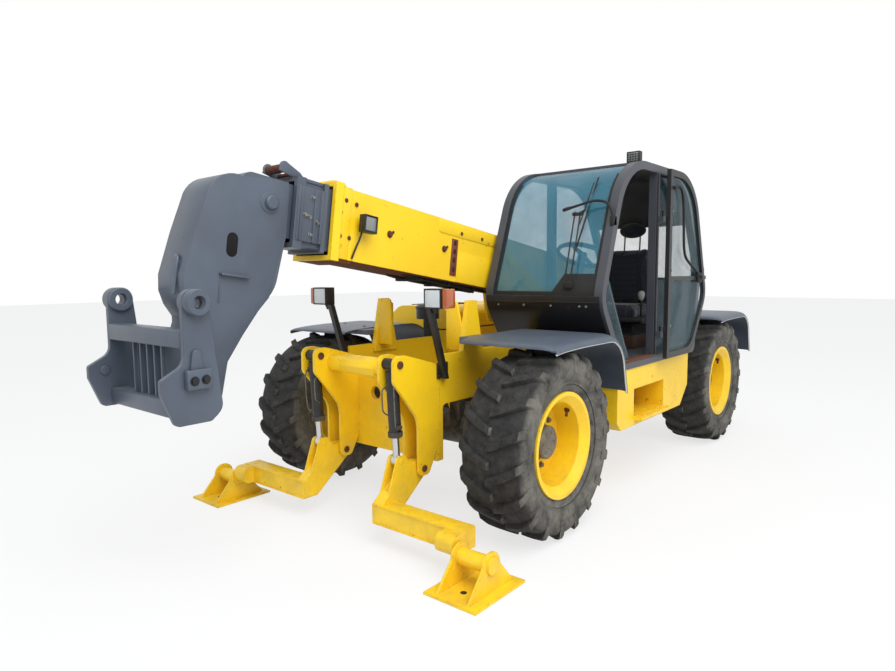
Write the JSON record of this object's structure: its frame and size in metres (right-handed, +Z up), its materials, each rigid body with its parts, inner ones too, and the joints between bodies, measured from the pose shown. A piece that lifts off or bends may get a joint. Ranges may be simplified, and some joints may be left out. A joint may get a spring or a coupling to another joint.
{
  "type": "telescopic handler with front stabilisers",
  "caption": "Four-wheel telescopic handler: side cab, rear-pivoted telescopic boom with gooseneck head and tool carriage, engine pod, and front stabiliser legs.",
  "frame": {"origin": "on the ground under the middle of the machine, with the boom and stabilisers as parked", "axes": "+X forward, towards the boom's head; +Y to the machine's left, the cab's side; +Z up"},
  "size_m": [6.09, 2.57, 2.5109],
  "materials": {
    "machine_yellow": "gloss paint, worn",
    "boom_grey": "satin paint",
    "cast_dark": "painted casting",
    "tyre_rubber": "dusty rubber",
    "cab_charcoal": "satin paint",
    "black_paint": "satin paint",
    "fender_plastic": "moulded",
    "glass": "clear",
    "seat_fabric": "woven cloth",
    "polished_rod": "polished",
    "lamp_plastic": "moulded with clear lens"
  },
  "bodies": {
    "machine": {"chassis_frame": "machine_yellow", "front_frame": "machine_yellow", "front_axle": "cast_dark", "rear_axle": "cast_dark", "front_fenders": "fender_plastic", "rear_fenders": "fender_plastic", "cab_frame": "cab_charcoal", "windscreen": "glass", "cab_windows": "glass", "seat": "seat_fabric", "steering_console": "fender_plastic", "steering_wheel": "fender_plastic", "step_box": "machine_yellow", "intake_and_exhaust": "black_paint", "engine_housing": "machine_yellow", "engine_block": "cast_dark", "lamp_posts": "black_paint", "headlamps": "lamp_plastic", "cab_work_lamp": "lamp_plastic"},
    "front_left_hub": {"front_left_knuckle": "cast_dark"},
    "front_left_wheel": {"front_left_tyre": "tyre_rubber", "front_left_rim": "machine_yellow"},
    "front_right_hub": {"front_right_knuckle": "cast_dark"},
    "front_right_wheel": {"front_right_tyre": "tyre_rubber", "front_right_rim": "machine_yellow"},
    "rear_left_hub": {"rear_left_knuckle": "cast_dark"},
    "rear_left_wheel": {"rear_left_tyre": "tyre_rubber", "rear_left_rim": "machine_yellow"},
    "rear_right_hub": {"rear_right_knuckle": "cast_dark"},
    "rear_right_wheel": {"rear_right_tyre": "tyre_rubber", "rear_right_rim": "machine_yellow"},
    "boom": {"boom_outer": "machine_yellow", "boom_work_lamp": "lamp_plastic"},
    "middle_section": {"boom_middle": "boom_grey"},
    "inner_section": {"boom_inner": "boom_grey"},
    "tool_carriage": {"carriage": "boom_grey"},
    "lift_barrel": {"lift_cylinder_barrel": "black_paint"},
    "lift_rod": {"lift_cylinder_rod": "polished_rod"},
    "left_leg": {"left_stabiliser_leg": "machine_yellow"},
    "left_foot": {"left_stabiliser_foot": "machine_yellow"},
    "left_stay_barrel": {"left_stabiliser_barrel": "black_paint"},
    "left_stay_rod": {"left_stabiliser_rod": "polished_rod"},
    "right_leg": {"right_stabiliser_leg": "machine_yellow"},
    "right_foot": {"right_stabiliser_foot": "machine_yellow"},
    "right_stay_barrel": {"right_stabiliser_barrel": "black_paint"},
    "right_stay_rod": {"right_stabiliser_rod": "polished_rod"},
    "door": {"cab_door": "black_paint", "cab_door_glass": "glass"},
    "hood": {"engine_hood": "machine_yellow"}
  },
  "joints": [
    {"name": "front_left_steer", "type": "hinge", "parent": "machine", "child": "front_left_hub", "pos_m": [0.975, 0.66, 0.575], "axis": [0, 0, 1], "range_deg": [-25, 25]},
    {"name": "front_left_roll", "type": "hinge", "parent": "front_left_hub", "child": "front_left_wheel", "pos_m": [0.975, 0.98, 0.575], "axis": [0, 1, 0], "continuous": true},
    {"name": "front_right_steer", "type": "hinge", "parent": "machine", "child": "front_right_hub", "pos_m": [0.975, -0.66, 0.575], "axis": [0, 0, 1], "range_deg": [-25, 25]},
    {"name": "front_right_roll", "type": "hinge", "parent": "front_right_hub", "child": "front_right_wheel", "pos_m": [0.975, -0.98, 0.575], "axis": [0, 1, 0], "continuous": true},
    {"name": "rear_left_steer", "type": "hinge", "parent": "machine", "child": "rear_left_hub", "pos_m": [-2.005, 0.66, 0.575], "axis": [0, 0, 1], "range_deg": [-25, 25]},
    {"name": "rear_left_roll", "type": "hinge", "parent": "rear_left_hub", "child": "rear_left_wheel", "pos_m": [-2.005, 0.98, 0.575], "axis": [0, 1, 0], "continuous": true},
    {"name": "rear_right_steer", "type": "hinge", "parent": "machine", "child": "rear_right_hub", "pos_m": [-2.005, -0.66, 0.575], "axis": [0, 0, 1], "range_deg": [-25, 25]},
    {"name": "rear_right_roll", "type": "hinge", "parent": "rear_right_hub", "child": "rear_right_wheel", "pos_m": [-2.005, -0.98, 0.575], "axis": [0, 1, 0], "continuous": true},
    {"name": "boom_lift", "type": "hinge", "parent": "machine", "child": "boom", "pos_m": [-2.425, 0, 1.31], "axis": [0, -1, 0], "range_deg": [-8, 52]},
    {"name": "boom_extend", "type": "slide", "parent": "boom", "child": "middle_section", "axis": [0.9903, 0, 0.1392], "range_m": [0, 3.15]},
    {"name": "inner_extend", "type": "slide", "parent": "middle_section", "child": "inner_section", "axis": [0.9903, 0, 0.1392], "range_m": [0, 3.15]},
    {"name": "carriage_tilt", "type": "hinge", "parent": "inner_section", "child": "tool_carriage", "pos_m": [2.71999, 0, 1.03032], "axis": [0, 1, 0], "range_deg": [-20, 95]},
    {"name": "lift_barrel_swing", "type": "hinge", "parent": "machine", "child": "lift_barrel", "pos_m": [-1.645, 0, 0.58], "axis": [0, -1, 0], "range_deg": [-7.93, 51.24]},
    {"name": "lift_rod_slide", "type": "slide", "parent": "lift_barrel", "child": "lift_rod", "axis": [0.9188, 0, 0.3948], "range_m": [-0.1445, 0.9366]},
    {"name": "left_leg_swing", "type": "hinge", "parent": "machine", "child": "left_leg", "pos_m": [1.43, 0.36, 0.405], "axis": [0, -1, 0], "range_deg": [0, 35]},
    {"name": "left_foot_tilt", "type": "hinge", "parent": "left_leg", "child": "left_foot", "pos_m": [1.82, 1.12, 0.15], "axis": [0, 1, 0], "range_deg": [-15, 30]},
    {"name": "left_stay_swing", "type": "hinge", "parent": "machine", "child": "left_stay_barrel", "pos_m": [1.635, 0.36, 1.075], "axis": [0, -1, 0], "range_deg": [-8.7, 0.05]},
    {"name": "left_stay_slide", "type": "slide", "parent": "left_stay_barrel", "child": "left_stay_rod", "axis": [-0.0587, 0, -0.9983], "range_m": [-0.074, 0.0005]},
    {"name": "right_leg_swing", "type": "hinge", "parent": "machine", "child": "right_leg", "pos_m": [1.43, -0.36, 0.405], "axis": [0, -1, 0], "range_deg": [0, 35]},
    {"name": "right_foot_tilt", "type": "hinge", "parent": "right_leg", "child": "right_foot", "pos_m": [1.82, -1.12, 0.15], "axis": [0, 1, 0], "range_deg": [-15, 30]},
    {"name": "right_stay_swing", "type": "hinge", "parent": "machine", "child": "right_stay_barrel", "pos_m": [1.635, -0.36, 1.075], "axis": [0, -1, 0], "range_deg": [-8.7, 0.05]},
    {"name": "right_stay_slide", "type": "slide", "parent": "right_stay_barrel", "child": "right_stay_rod", "axis": [-0.0587, 0, -0.9983], "range_m": [-0.074, 0.0005]},
    {"name": "door_swing", "type": "hinge", "parent": "machine", "child": "door", "pos_m": [-0.445, 1.175, 1.5], "axis": [0, 0, -1], "range_deg": [0, 180]},
    {"name": "hood_lift", "type": "hinge", "parent": "machine", "child": "hood", "pos_m": [0.975, -0.446, 1.114], "axis": [-1, 0, 0], "range_deg": [0, 60]}
  ],
  "couplings": [
    {"joint": "inner_extend", "follows": "boom_extend", "ratio": 1},
    {"joint": "lift_barrel_swing", "follows": "boom_lift", "ratio": 0.98446},
    {"joint": "lift_rod_slide", "follows": "boom_lift", "m_per_rad": 1.0315},
    {"joint": "front_right_steer", "follows": "front_left_steer", "ratio": 1},
    {"joint": "rear_right_steer", "follows": "rear_left_steer", "ratio": 1},
    {"joint": "left_stay_swing", "follows": "left_leg_swing", "ratio": -0.24708},
    {"joint": "left_stay_slide", "follows": "left_leg_swing", "m_per_rad": -0.12037},
    {"joint": "right_stay_swing", "follows": "right_leg_swing", "ratio": -0.24708},
    {"joint": "right_stay_slide", "follows": "right_leg_swing", "m_per_rad": -0.12037}
  ]
}
